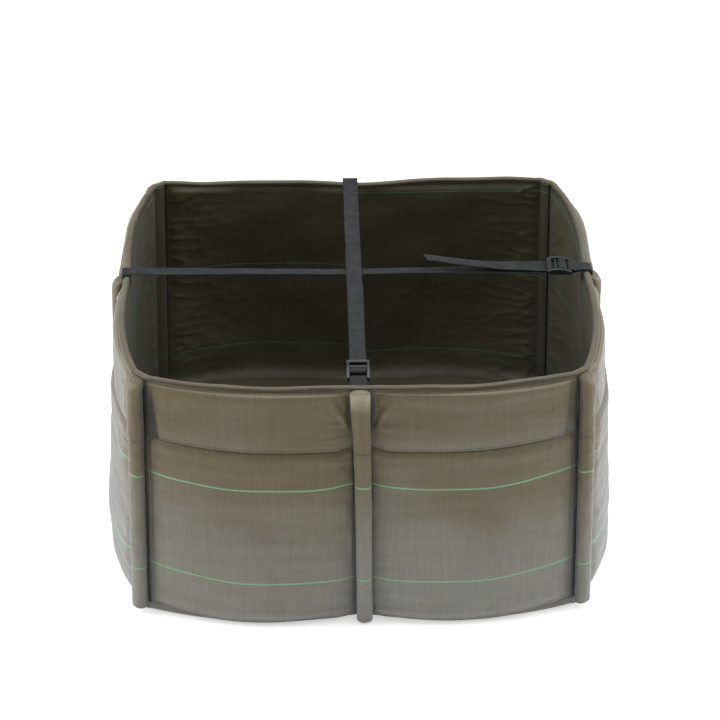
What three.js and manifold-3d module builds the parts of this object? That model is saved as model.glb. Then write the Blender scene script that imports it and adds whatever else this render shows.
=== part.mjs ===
// A square fabric grow bag: a double-walled woven bag with a felt core, eight upright sleeves that each hold
// a stiffener rod, a turned-over cuff and rolled rim, and two webbing straps that cross over the mouth, each
// drawn tight by a ladder-lock buckle. Millimetres, +Z up. The origin is on the floor under the middle of the
// bag, and the front faces -Y.
import * as THREE from "three";
import { mergeVertices } from "three/addons/utils/BufferGeometryUtils.js";
import Module from "manifold-3d";

// Driving dimensions.
const WIDTH = 650; // a side's width between its two corner seams, at the rim
const CHAMFER = 20; // each corner is cut off this far along both sides, and a sleeve stands on the cut
const HEIGHT = 420; // floor to the top of the rim
const FOOT_SPREAD = 5; // how much further out each corner seam stands at the floor
const BELLY_HEIGHT = 100; // where the sides bulge most
const BELLY = 32; // how far the middle of a side bulges there
const BELLY_TUCK = 9; // how far it comes back in from there to the floor
const CUFF = 103; // rim to the cuff's seam

// The wall, from the outside in: woven cloth, felt, woven lining.
const CLOTH = 2;
const LAYER_GAP = 1;
const FELT = 2.5;
const LINING = 1.5;
const FELT_DEPTH = CLOTH + LAYER_GAP;
const LINING_DEPTH = FELT_DEPTH + FELT + LAYER_GAP;
const WALL = LINING_DEPTH + LINING;
const CORNER_GAP = 1.5; // between the layers of two sides that meet at a corner
const MITRE = Math.tan(Math.PI / 8); // how far a seam moves along its side for each millimetre inwards

// Rim, sleeves and rods.
const ROLL_RADIUS = 4.3;
const WALL_TOP = HEIGHT - 2 * ROLL_RADIUS - 0.4;
const CLOTH_FOOT = 10.5;
const FELT_FOOT = 13.5;
const LINING_FOOT = 15.5;
const MID_SLEEVE = { halfWidth: 14, halfDepth: 10.5, turn: 0, foot: 1 };
const CORNER_SLEEVE = { halfWidth: 14, halfDepth: 11, turn: 45, foot: 9 };
const SLEEVE_STAND_OFF = 9.5; // its axis to the face it stands on
const SLEEVE_CLOTH = 1.6;
const ROD_RADIUS = 8;
const ROD_FOOT = 4; // a rod stops this far short of the foot of its sleeve
const ROD_TOP = 22; // and this far short of its top, which is sewn down under the rim
const PANEL_END = 17; // an outer panel stops this far from the middle of a side, beside the sleeve

// Base, from the floor up: woven cloth, felt, woven lining.
const BASE_LIFT = 8; // how far the base turns up at its edge
const BASE_LAYERS = [
  { name: "base_panel", low: 0, high: 2, inset: 1.5, material: "cloth" },
  { name: "base_felt", low: 2.5, high: 5, inset: 3.5, material: "felt" },
  { name: "base_lining", low: 5.5, high: 7, inset: 7, material: "lining" },
];

// Webbing and buckles.
const WEBBING = 25;
const WEB = 1.6; // its thickness
const WEB_GAP = 0.5;
const BAR_RADIUS = 2;
const WEB_LOOP = BAR_RADIUS + 0.3 + WEB / 2; // radius of the webbing's middle round the anchor bar
const ENTRY = 28.6; // from the anchor bar to where the long strap meets the buckle
const ENTRY_DROP = 1; // the long strap enters this far under the bar, and the tail leaves as far over it
const FRONT_BAR = { x: -5, y: -346, z: 414, tilt: 13 };
const SIDE_BAR = { x: 341.5, z: 422.2, roll: 13 };
const FRONT_TAIL = 257; // the loose end that lies on the front-to-back strap
const SIDE_TAIL = 203; // the loose end that stands clear of the side-to-side strap

// The sides in order round the bag. rimBulge is how far the middle of the rim stands out of the line between
// its corners, and rimLobe how far each half of the rim swells beyond that. The strap draws the back rim in.
const SIDES = [
  { name: "front", next: "left", rimBulge: 38, rimLobe: 4 },
  { name: "right", next: "front", rimBulge: 28, rimLobe: 4 },
  { name: "back", next: "right", rimBulge: -10, rimLobe: 8 },
  { name: "left", next: "back", rimBulge: 28, rimLobe: 4 },
];
const BODY_LOBE = 20; // each half of a side swells by this much below the rim

// The wall is faceted on one lattice that all its layers share: heights, and shares of a side's half length.
const LEVELS = [0, 50, BELLY_HEIGHT, 170, 245, HEIGHT - CUFF, HEIGHT];
const COLUMNS = [0, 0.2, 0.45, 0.7, 0.88, 1];

const radians = THREE.MathUtils.degToRad;
const lerp = THREE.MathUtils.lerp;
const MATERIALS = {
  cloth: { color: 0x6f6758, roughness: 0.8, metalness: 0 },
  lining: { color: 0x5c5444, roughness: 0.85, metalness: 0 },
  felt: { color: 0x3b3a36, roughness: 1, metalness: 0 },
  rod: { color: 0x25282a, roughness: 0.6, metalness: 0 },
  webbing: { color: 0x2b2f33, roughness: 0.7, metalness: 0 },
  buckle: { color: 0x3c4346, roughness: 0.4, metalness: 0 },
};

// The wall's shape.

const cornerAt = (z) => WIDTH / 2 + FOOT_SPREAD * (1 - z / HEIGHT);

function bulgeAt(side, z) {
  if (z < BELLY_HEIGHT) return BELLY - BELLY_TUCK * (1 - z / BELLY_HEIGHT) ** 2;
  const rise = (z - BELLY_HEIGHT) / (HEIGHT - BELLY_HEIGHT);
  return lerp(BELLY, side.rimBulge, rise ** 1.5);
}

// How far the wall's face stands out of the bag's middle at a lattice point.
function latticeOut(side, column, z) {
  const fromCorner = 1 - column;
  const swell = 1 - (1 - fromCorner) ** 3.4;
  const lobe = lerp(BODY_LOBE, side.rimLobe, z / HEIGHT);
  return cornerAt(z) + CHAMFER + bulgeAt(side, z) * swell + lobe * Math.sin(Math.PI * fromCorner);
}

// The place in a rising list where a value falls: the index below it, and the share of the way to the next.
function cell(list, value) {
  let i = 0;
  while (i < list.length - 2 && value > list[i + 1]) i += 1;
  return [i, (value - list[i]) / (list[i + 1] - list[i])];
}

// The wall's face at any point of a side: along is measured from the middle of the side.
function wallOut(side, along, z) {
  const [level, up] = cell(LEVELS, z);
  const [column, across] = cell(COLUMNS, Math.abs(along) / cornerAt(z));
  const rows = [LEVELS[level], LEVELS[level + 1]].map((height) =>
    lerp(latticeOut(side, COLUMNS[column], height), latticeOut(side, COLUMNS[column + 1], height), across),
  );
  return lerp(rows[0], rows[1], up);
}

const levelsBetween = (low, high) => [low, ...LEVELS.filter((z) => z > low + 1 && z < high - 1), high];

// A closed slab of cells, each corner put in place by place(column index, depth 0 to 1, height). The cells of
// its two faces are cut along the same diagonals, so that layers nest.
function slab(columns, levels, place) {
  const geometry = new THREE.BoxGeometry(1, 1, 1, columns - 1, 1, levels.length - 1);
  const { start, count } = geometry.groups[3];
  const index = geometry.index.array;
  for (let i = start; i < start + count; i += 6) {
    const [a, b, d, , c] = index.slice(i, i + 5);
    index.set([a, b, c, a, c, d], i);
  }
  const at = geometry.attributes.position;
  for (let i = 0; i < at.count; i += 1) {
    const column = Math.round((at.getX(i) + 0.5) * (columns - 1));
    const level = Math.round((at.getZ(i) + 0.5) * (levels.length - 1));
    at.setXYZ(i, ...place(column, at.getY(i) + 0.5, levels[level]));
  }
  return geometry;
}

// Half of the outer cloth of a side, from beside the middle sleeve to the corner seam: half is -1 for the
// left and 1 for the right. A side's own frame has -Y outwards.
function outerPanel(side, half, low, high) {
  const shares = [0, ...COLUMNS.slice(1)].map((share) => share * half).sort((a, b) => a - b);
  return slab(shares.length, levelsBetween(low, high), (column, inward, z) => {
    const along = shares[column] === 0 ? PANEL_END * half : shares[column] * cornerAt(z);
    return [along, -(wallOut(side, along, z) - inward * CLOTH), z];
  });
}

// An inner layer of a side, which goes on over the cut-off corner at its left: depth is how far its outer
// face lies inside the wall's face.
function innerLayer(side, depth, thickness, low) {
  const shares = [...COLUMNS.slice(1).map((share) => -share).reverse(), ...COLUMNS];
  return slab(shares.length + 1, levelsBetween(low, WALL_TOP), (column, inward, z) => {
    const inside = depth + inward * thickness;
    const seam = cornerAt(z) - MITRE * inside;
    if (column === 0) return [-(cornerAt(z) + CHAMFER - inside) + CORNER_GAP, -seam - CORNER_GAP, z];
    const share = shares[column - 1];
    const end = share > 0 ? seam - CORNER_GAP : seam;
    const along = Math.sign(share) * Math.min(Math.abs(share) * cornerAt(z), end);
    return [along, -(wallOut(side, along, z) - inside), z];
  });
}

// A tube whose axis follows axisAt(z), or a rod when its wall is 0. Its section is an ellipse turned about Z.
function upright({ halfWidth, halfDepth, turn }, wall, low, high, sides, axisAt) {
  const levels = levelsBetween(low, high);
  const outer = levels.map((z) => new THREE.Vector2(1, z));
  const inner = levels.map((z) => new THREE.Vector2(0.5, z)).reverse();
  const tube = [...outer, ...inner, outer[0].clone()];
  const rod = [new THREE.Vector2(0, low), ...outer, new THREE.Vector2(0, high)];
  const geometry = new THREE.LatheGeometry(wall > 0 ? tube : rod, sides).rotateX(Math.PI / 2);
  const at = geometry.attributes.position;
  const centre = new THREE.Vector2();
  for (let i = 0; i < at.count; i += 1) {
    const z = at.getZ(i);
    const share = Math.hypot(at.getX(i), at.getY(i));
    const angle = Math.atan2(at.getY(i), at.getX(i));
    const inset = share < 0.75 ? wall : 0;
    const reach = share < 0.01 ? 0 : 1;
    const point = new THREE.Vector2(
      reach * (halfWidth - inset) * Math.cos(angle),
      reach * (halfDepth - inset) * Math.sin(angle),
    );
    const [along, out] = axisAt(z);
    point.rotateAround(centre, -radians(turn));
    at.setXYZ(i, along + point.x, -out + point.y, z);
  }
  return geometry;
}

// A flat band of webbing: its middle line runs through points in a plane, and it is as wide as the webbing.
function ribbon(points, thickness = WEB) {
  const line = points.map(([x, z]) => new THREE.Vector2(x, z));
  const edge = (sign) =>
    line.map((p, i) => {
      const before = line[Math.max(i - 1, 0)];
      const after = line[Math.min(i + 1, line.length - 1)];
      const into = p.clone().sub(before).normalize();
      const out = after.clone().sub(p).normalize();
      const run = into.clone().add(out).normalize();
      const bend = Math.max(into.length() && out.length() ? into.dot(run) : 1, 0.5);
      return new THREE.Vector2(-run.y, run.x).multiplyScalar((sign * thickness) / 2 / bend).add(p);
    });
  const outline = new THREE.Shape([...edge(1), ...edge(-1).reverse()]);
  const geometry = new THREE.ExtrudeGeometry(outline, { depth: WEBBING, bevelEnabled: false, steps: 1 });
  // The plane of the points stands upright, with the width across it.
  return geometry.translate(0, 0, -WEBBING / 2).rotateX(Math.PI / 2);
}

// Turns each point of a geometry about a line along X at height z, by angleAt(x) degrees.
function twist(geometry, z, angleAt) {
  const at = geometry.attributes.position;
  for (let i = 0; i < at.count; i += 1) {
    const angle = radians(angleAt(at.getX(i)));
    const [y, up] = [at.getY(i), at.getZ(i) - z];
    at.setY(i, y * Math.cos(angle) - up * Math.sin(angle));
    at.setZ(i, z + y * Math.sin(angle) + up * Math.cos(angle));
  }
  return geometry;
}

// The half circle that webbing makes round an anchor bar at (x, z), from under it to over it.
const loopRound = (x, z) =>
  [-90, -45, 0, 45, 90].map((degrees) => [
    x + WEB_LOOP * Math.cos(radians(degrees)),
    z + WEB_LOOP * Math.sin(radians(degrees)),
  ]);

const bag = new THREE.Group();
const bySide = {};

function add(parent, name, geometry, material) {
  const mesh = new THREE.Mesh(geometry, new THREE.MeshStandardMaterial(MATERIALS[material]));
  mesh.name = name;
  parent.add(mesh);
  return mesh;
}

// Walls, sleeves, rods and rim: each side is built facing the front and turned into place.

function addWall(group, side) {
  for (const [half, word] of [[-1, "left"], [1, "right"]]) {
    const panel = outerPanel(side, half, CLOTH_FOOT, HEIGHT - CUFF - 0.5);
    const cuff = outerPanel(side, half, HEIGHT - CUFF, WALL_TOP);
    add(group, `outer_panel_${side.name}_${word}`, panel, "cloth");
    add(group, `cuff_${side.name}_${word}`, cuff, "cloth");
  }
  add(group, `felt_core_${side.name}`, innerLayer(side, FELT_DEPTH, FELT, FELT_FOOT), "felt");
  add(group, `lining_${side.name}`, innerLayer(side, LINING_DEPTH, LINING, LINING_FOOT), "lining");
}

function addSleeve(group, place, section, axisAt) {
  const sleeve = upright(section, SLEEVE_CLOTH, section.foot, WALL_TOP, 12, axisAt);
  const rodSection = { halfWidth: ROD_RADIUS, halfDepth: ROD_RADIUS, turn: 0 };
  const rod = upright(rodSection, 0, section.foot + ROD_FOOT, WALL_TOP - ROD_TOP, 8, axisAt);
  add(group, `sleeve_${place}`, sleeve, "cloth");
  add(group, `stiffener_rod_${place}`, rod, "rod");
}

function addSleeves(group, side) {
  const middle = (z) => [0, wallOut(side, 0, Math.max(z, CLOTH_FOOT)) + SLEEVE_STAND_OFF];
  const stand = CHAMFER / 2 + (SLEEVE_STAND_OFF + 0.8) * Math.SQRT1_2;
  const corner = (z) => [-cornerAt(z) - stand, cornerAt(z) + stand];
  addSleeve(group, `${side.name}_middle`, MID_SLEEVE, middle);
  addSleeve(group, `${side.name}_${side.next}_corner`, CORNER_SLEEVE, corner);
}

// The rolled rim of a side, which also goes over the cut-off corner at its left.
function addRim(group, side) {
  const z = HEIGHT - ROLL_RADIUS;
  const inside = WALL / 2;
  const seam = cornerAt(z) - MITRE * inside;
  const shares = [...COLUMNS, ...COLUMNS.slice(1).map((share) => -share)].sort((a, b) => b - a);
  const onWall = shares.map((share) => {
    const along = THREE.MathUtils.clamp(share * cornerAt(z), -seam, seam - CORNER_GAP);
    return new THREE.Vector3(along, -(wallOut(side, along, z) - inside), z);
  });
  const next = new THREE.Vector3(-(cornerAt(z) + CHAMFER - inside) + CORNER_GAP, -seam - CORNER_GAP, z);
  const path = new THREE.CatmullRomCurve3([...onWall, next], false, "centripetal");
  const section = new THREE.Shape();
  section.absarc(0, 0, ROLL_RADIUS, 0, 2 * Math.PI);
  const options = { extrudePath: path, steps: 30, curveSegments: 4, bevelEnabled: false };
  add(group, `rim_roll_${side.name}`, new THREE.ExtrudeGeometry(section, options), "cloth");
}

SIDES.forEach((side, i) => {
  const group = new THREE.Group();
  group.rotation.z = (i * Math.PI) / 2;
  bag.add(group);
  bySide[side.name] = side;
  addWall(group, side);
  addSleeves(group, side);
  addRim(group, side);
});

// Base: each layer is a square of cells that follow the wall's columns, with its corners cut off like the
// walls' and its edge turned up.
function baseLayer({ low, high, inset }) {
  const foot = BASE_LIFT + low;
  const corner = cornerAt(foot);
  const end = corner + CHAMFER;
  const half = [...COLUMNS, end / corner].map((share) => (share * corner) / end);
  const stops = [...half.slice(1).map((share) => -share).reverse(), ...half];
  const reach = (name, share) => {
    const along = Math.min(Math.abs(share) * (end - inset), corner);
    return wallOut(bySide[name], along, foot) - inset;
  };
  const most = corner - MITRE * inset + end - inset;
  return slab(stops.length, stops, (column, down, q) => {
    const p = stops[column];
    const x = p * reach(p > 0 ? "right" : "left", q);
    const y = q * reach(q > 0 ? "back" : "front", p);
    const over = Math.max(0, Math.abs(x) + Math.abs(y) - most) / 2;
    const lift = BASE_LIFT * Math.max(0, (Math.max(Math.abs(p), Math.abs(q)) - 0.7) / 0.3) ** 1.5;
    return [x - over * Math.sign(x), y - over * Math.sign(y), lift + lerp(high, low, down)];
  });
}
BASE_LAYERS.forEach((layer) => add(bag, layer.name, baseLayer(layer), layer.material));

// Buckles: a ladder lock in its own frame. Its anchor bar lies along Y at the origin, and its tab is at +X.
const wasm = await Module();
wasm.setup();

function solidOf(geometry) {
  const bare = geometry.clone();
  bare.deleteAttribute("normal");
  bare.deleteAttribute("uv");
  const merged = mergeVertices(bare, 1e-4);
  return new wasm.Manifold(
    new wasm.Mesh({
      numProp: 3,
      vertProperties: merged.attributes.position.array,
      triVerts: new Uint32Array(merged.index.array),
    }),
  );
}

function geometryOf(solid) {
  const mesh = solid.getMesh();
  const geometry = new THREE.BufferGeometry();
  geometry.setAttribute("position", new THREE.BufferAttribute(mesh.vertProperties, 3));
  geometry.setIndex(new THREE.BufferAttribute(mesh.triVerts, 1));
  return geometry;
}

const RAIL = { inner: 13.2, width: 4.3, bevel: 0.8 };
const BARS = [
  { from: 9.5, to: 14.5, low: 2.4, high: 5.4 },
  { from: 20, to: 24.5, low: 2.4, high: 5.4 },
];

function railShape() {
  const shape = new THREE.Shape();
  shape.moveTo(-4, -3);
  shape.lineTo(24, -3);
  shape.quadraticCurveTo(31, -2.5, 36, 4.5);
  shape.quadraticCurveTo(32, 8, 24, 8.6);
  shape.quadraticCurveTo(10, 10, -2.5, 3.4);
  shape.quadraticCurveTo(-5, 1, -4, -3);
  return shape;
}

// A bar or plate across the buckle, from its side outline.
function crosspiece(shape) {
  const span = 2 * RAIL.inner + 3;
  const options = { depth: span, bevelEnabled: false, curveSegments: 5 };
  return new THREE.ExtrudeGeometry(shape, options).translate(0, 0, -span / 2).rotateX(Math.PI / 2);
}

function buckleGeometry() {
  const [bevelThickness, bevelSize, bevelOffset] = [RAIL.bevel, RAIL.bevel, -RAIL.bevel];
  const depth = RAIL.width - 2 * RAIL.bevel;
  const bevelled = { depth, curveSegments: 5, bevelThickness, bevelSize, bevelOffset, bevelSegments: 1 };
  const rail = new THREE.ExtrudeGeometry(railShape(), bevelled);
  rail.rotateX(Math.PI / 2);
  const middle = RAIL.inner + RAIL.width / 2;
  const centre = depth / 2;
  const pieces = [
    rail.clone().translate(0, middle + centre, 0),
    rail.clone().translate(0, -middle + centre, 0),
    new THREE.CylinderGeometry(BAR_RADIUS, BAR_RADIUS, 2 * RAIL.inner + 3, 12),
  ];
  for (const { from, to, low, high } of BARS) {
    const bar = new THREE.Shape();
    bar.moveTo(from, low);
    bar.lineTo(to, low);
    bar.lineTo(to, high - 1);
    bar.quadraticCurveTo((from + to) / 2, high + 1, from, high - 1);
    pieces.push(crosspiece(bar));
  }
  const tab = new THREE.Shape();
  tab.moveTo(29, 3);
  tab.lineTo(32, 2.6);
  tab.quadraticCurveTo(34.5, 3, 36, 5.4);
  tab.quadraticCurveTo(33, 7.6, 29, 6.6);
  pieces.push(crosspiece(tab));
  return geometryOf(pieces.map(solidOf).reduce((whole, piece) => whole.add(piece)));
}

// The webbing inside a buckle: in under the tab, up behind the middle bar, over it, down, and out again.
const wrapGeometry = () =>
  ribbon([
    [ENTRY - 0.6, -ENTRY_DROP],
    [9, -ENTRY_DROP],
    [7.4, -0.6],
    [6.9, 1],
    [7, 5],
    [8.2, 6.9],
    [12, 7.3],
    [15.9, 6.9],
    [17.2, 5],
    [17.2, 3],
    [17.8, 1.5],
    [19.4, ENTRY_DROP],
    [ENTRY - 0.6, ENTRY_DROP],
  ]);

function addBuckle(name, mount) {
  add(mount, `${name}_buckle`, buckleGeometry(), "buckle");
  add(mount, `${name}_buckle_webbing`, wrapGeometry(), "webbing");
  bag.add(mount);
}

const frontMount = new THREE.Group();
frontMount.rotation.order = "ZYX";
frontMount.rotation.z = Math.PI / 2;
frontMount.rotation.y = -radians(FRONT_BAR.tilt);
frontMount.position.set(FRONT_BAR.x, FRONT_BAR.y, FRONT_BAR.z);
addBuckle("front", frontMount);

const sideMount = new THREE.Group();
sideMount.rotation.order = "XYZ";
sideMount.rotation.x = radians(SIDE_BAR.roll);
sideMount.rotation.z = Math.PI;
sideMount.position.set(SIDE_BAR.x, 0, SIDE_BAR.z);
addBuckle("side", sideMount);

// Straps. rimOut is a side's wall face at the rim, at the most it stands out under the webbing's width, and a
// strap that goes over the rim ends in the seam outside it.
const rimOut = (name) => Math.max(...[0, WEBBING / 2].map((along) => wallOut(bySide[name], along, HEIGHT)));
const OVER = HEIGHT + WEB_GAP + WEB / 2;
const overRim = (out, lift) => [
  [out - 10, OVER + lift],
  [out - 3.5, OVER + lift - 0.2],
  [out + 0.9 + lift * 0.6, OVER + lift - 1.7],
  [out + 2.2 + lift, OVER + lift - 4.6],
  [out + 2.2 + lift, WALL_TOP + 1.5],
];

// Turns a ribbon made along X to run from front to back, in line with the front buckle.
const lengthwise = (points) => ribbon(points).rotateZ(Math.PI / 2).translate(FRONT_BAR.x, 0, 0);

// The front anchor strap: doubled round the buckle's bar, and sewn to the inside of the front wall.
function addFrontAnchor() {
  const sewnLow = HEIGHT - 42;
  const face = -(wallOut(bySide.front, 0, sewnLow) - WALL);
  const [inner, outer] = [WEB_GAP + WEB / 2 + 2, WEB_GAP + WEB / 2];
  const { y, z } = FRONT_BAR;
  const path = [
    [face + outer, sewnLow],
    [face + outer, z - 10],
    [face + outer + 3.5, z - 4.4],
    [y - 10, z - 3.4],
    ...loopRound(y, z),
    [y - 10, z + 0.6],
    [face + inner + 4.5, z - 2.2],
    [face + inner, z - 10.6],
    [face + inner, sewnLow],
  ];
  add(bag, "front_anchor_strap", lengthwise(path), "webbing");
}

// The side anchor strap: doubled round the buckle's bar, and taken over the right rim.
function addSideAnchor() {
  const { x, z, roll } = SIDE_BAR;
  const out = rimOut("right");
  const under = [...overRim(out, 0)].reverse();
  const over = overRim(out, 2.1);
  const path = [
    ...under,
    [out - 16, z - 1.3],
    [x + 8, z - 2.2],
    [x + 4, z - 2.9],
    ...loopRound(x, z).map(([px, pz]) => [2 * x - px, pz]),
    [x + 4, z + 2.9],
    [x + 8, z + 2.2],
    [out - 16, z + 1.1],
    ...over,
  ];
  const angleAt = (at) => roll * THREE.MathUtils.clamp((out - 12 - at) / (out - 12 - x - 8), 0, 1);
  add(bag, "side_anchor_strap", twist(ribbon(path), z, angleAt), "webbing");
}

// The two long straps, from the far rim to the buckles, and their loose tails. Where they cross, the
// front-to-back strap lies on top.
const CROSSING = HEIGHT - 2.3;
function addLongStraps() {
  const tilt = radians(FRONT_BAR.tilt);
  const entry = (drop) => [
    FRONT_BAR.y + ENTRY * Math.cos(tilt) + drop * Math.sin(tilt),
    FRONT_BAR.z + ENTRY * Math.sin(tilt) - drop * Math.cos(tilt),
  ];
  const longPath = [
    entry(ENTRY_DROP),
    [-300, CROSSING + 3],
    [0, CROSSING + WEB + WEB_GAP],
    ...overRim(rimOut("back"), 0),
  ];
  add(bag, "front_to_back_strap", lengthwise(longPath), "webbing");

  const start = SIDE_BAR.x - ENTRY;
  const left = overRim(rimOut("left"), 0).map(([x, z]) => [-x, z]);
  const middles = [0.75, 0.5, 0.25].map((s) => [start * s, lerp(CROSSING, SIDE_BAR.z - ENTRY_DROP, s ** 2)]);
  const crosswise = [
    [start, SIDE_BAR.z - ENTRY_DROP],
    ...middles,
    [0, CROSSING],
    [-200, CROSSING + 1],
    ...left,
  ];
  const lastRoll = (x) => SIDE_BAR.roll * THREE.MathUtils.clamp(x / start, 0, 1) ** 2;
  add(bag, "side_to_side_strap", twist(ribbon(crosswise), SIDE_BAR.z, lastRoll), "webbing");

  const [tailY, tailZ] = entry(-ENTRY_DROP);
  const stack = 2 * ENTRY_DROP + 0.4;
  const frontTail = [
    [tailY, tailZ],
    [-299, CROSSING + 3 + stack],
    [tailY + FRONT_TAIL, CROSSING + WEB + WEB_GAP + stack],
  ];
  add(bag, "front_strap_tail", lengthwise(frontTail), "webbing");

  const rise = [0, 1.2, 2.4, 6, 12, 18];
  const sideTail = rise.map((up, i) => [
    start - (SIDE_TAIL * i) / (rise.length - 1),
    SIDE_BAR.z + ENTRY_DROP + up,
  ]);
  add(bag, "side_strap_tail", twist(ribbon(sideTail), SIDE_BAR.z, lastRoll), "webbing");
}

addFrontAnchor();
addSideAnchor();
addLongStraps();

export default bag;
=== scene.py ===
"""The looks of a square fabric grow bag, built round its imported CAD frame. Metres, +Z up, front at -Y."""

import math

import bmesh
import bpy
import numpy as np
from mathutils import Matrix, Vector


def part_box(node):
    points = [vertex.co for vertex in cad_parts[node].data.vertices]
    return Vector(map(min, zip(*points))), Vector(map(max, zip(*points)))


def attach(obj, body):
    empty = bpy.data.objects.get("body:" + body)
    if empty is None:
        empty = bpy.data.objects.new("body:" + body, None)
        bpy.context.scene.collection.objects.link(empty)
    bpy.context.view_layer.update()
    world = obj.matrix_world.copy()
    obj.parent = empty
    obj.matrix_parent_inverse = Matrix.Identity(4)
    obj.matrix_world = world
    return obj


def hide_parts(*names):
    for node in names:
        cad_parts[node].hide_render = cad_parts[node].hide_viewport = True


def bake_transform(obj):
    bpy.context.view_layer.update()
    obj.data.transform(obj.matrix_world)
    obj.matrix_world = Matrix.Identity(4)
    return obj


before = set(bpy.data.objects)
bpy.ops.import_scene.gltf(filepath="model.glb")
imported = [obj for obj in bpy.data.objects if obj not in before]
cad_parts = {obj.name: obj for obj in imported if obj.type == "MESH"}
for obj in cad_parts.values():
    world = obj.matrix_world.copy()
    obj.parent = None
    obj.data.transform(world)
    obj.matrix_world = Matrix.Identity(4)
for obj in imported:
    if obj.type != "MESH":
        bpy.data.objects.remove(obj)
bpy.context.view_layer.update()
rng = np.random.default_rng(7)

# The bag's shape, the same as the CAD's.
HALF = 0.325  # middle of a side to its corner seam, at the rim
CHAMFER = 0.020  # each corner is cut off this far along both sides
HEIGHT = 0.420
FOOT_SPREAD = 0.005
BELLY_HEIGHT, BELLY, BELLY_TUCK = 0.100, 0.032, 0.009
BODY_LOBE = 0.020
CUFF = 0.103
ROLL = 0.0043
WALL_TOP = HEIGHT - 2 * ROLL - 0.0004
LINING_DEPTH = 0.0092
MITRE = math.tan(math.pi / 8)
# Each side: its neighbour at its left, its bulge and lobe at the rim, and its quarter turns from the front.
SIDES = {
    "front": {"next": "left", "bulge": 0.038, "lobe": 0.004, "turn": 0},
    "right": {"next": "front", "bulge": 0.028, "lobe": 0.004, "turn": 1},
    "back": {"next": "right", "bulge": -0.010, "lobe": 0.008, "turn": 2},
    "left": {"next": "back", "bulge": 0.028, "lobe": 0.004, "turn": 3},
}

# Webbing and buckles, the same as the CAD's.
WEB, WEBBING = 0.0016, 0.025
WEB_LOOP = 0.0031
ENTRY, ENTRY_DROP = 0.0286, 0.001
FRONT_BAR, FRONT_TILT = Vector((-0.005, -0.346, 0.414)), math.radians(13)
SIDE_BAR, SIDE_ROLL = Vector((0.3415, 0, 0.4222)), math.radians(13)
FRONT_TAIL, SIDE_TAIL = 0.257, 0.203
CROSSING = HEIGHT - 0.0023


# ---------------------------------------------------------------- camera, floor, light


AIM = Vector((0, 0, 0.2))  # the camera and the lights point here


def added(name, data):
    """A new object in the scene."""
    obj = bpy.data.objects.new(name, data)
    bpy.context.scene.collection.objects.link(obj)
    return obj


def add_camera():
    distance, elevation, azimuth = 4.8, math.radians(29.4), math.radians(1.17)
    level = -math.cos(elevation)
    away = Vector((level * math.sin(azimuth), level * math.cos(azimuth), math.sin(elevation)))
    data = bpy.data.cameras.new("camera")
    data.sensor_width = 36
    data.lens = 146
    data.shift_x, data.shift_y = 0.0042, 0.0405
    camera = added("camera", data)
    camera.location = AIM + distance * away
    camera.rotation_euler = (-away).to_track_quat("-Z", "Y").to_euler()
    bpy.context.scene.camera = camera


def add_light(name, place, size, power, colour=(1, 1, 1)):
    data = bpy.data.lights.new(name, "AREA")
    data.shape, data.size, data.energy, data.color = "SQUARE", size, power, colour
    light = added(name, data)
    light.location = place
    light.rotation_euler = (AIM - Vector(place)).to_track_quat("-Z", "Y").to_euler()


def add_studio():
    world = bpy.data.worlds.new("studio")
    world.use_nodes = True
    sky = world.node_tree.nodes["Background"].inputs
    sky["Color"].default_value = (1, 1, 1, 1)
    sky["Strength"].default_value = 0.40
    bpy.context.scene.world = world
    bpy.context.scene.view_settings.view_transform = "Standard"
    add_light("overhead", (0.2, -0.2, 3.2), 2.4, 62)
    add_light("left_softbox", (-2.7, -0.2, 1.5), 1.8, 72)
    add_light("right_softbox", (2.7, 0.0, 1.5), 1.8, 62)


add_camera()
add_studio()


# ---------------------------------------------------------------- node-based materials


def linear(r, g, b):
    """A colour's linear values, from its 0 to 255 values on a screen."""
    return tuple(((c / 255 + 0.055) / 1.055) ** 2.4 if c > 10 else c / 3294.6 for c in (r, g, b)) + (1,)


SHEEN_ROUGHNESS = 0.35


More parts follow.
